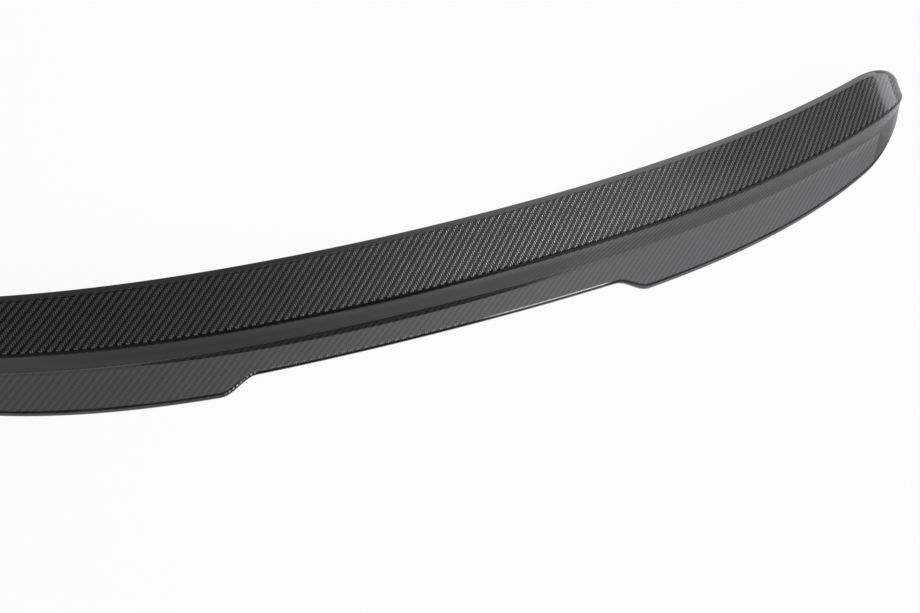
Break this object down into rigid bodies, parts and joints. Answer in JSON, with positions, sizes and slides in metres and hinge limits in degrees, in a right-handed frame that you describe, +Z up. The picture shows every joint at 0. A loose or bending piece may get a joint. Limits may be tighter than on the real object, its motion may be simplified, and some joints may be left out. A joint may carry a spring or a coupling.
{
  "type": "car rear spoiler",
  "caption": "One-piece moulded carbon-fibre lip spoiler for a car's boot lid, bowed in plan, with a raised lip, an open underside and a wide notch in its lower rear edge.",
  "frame": {"origin": "middle of the footprint, on the plane of the lower edge", "axes": "+X along the length to the car's right side, +Y to the front of the car, +Z up"},
  "size_m": [1.18, 0.1712, 0.0636],
  "materials": {
    "carbon_laminate": "woven carbon fibre under a clear gloss coat"
  },
  "bodies": {
    "root": {"spoiler_shell": "carbon_laminate"}
  },
  "joints": []
}
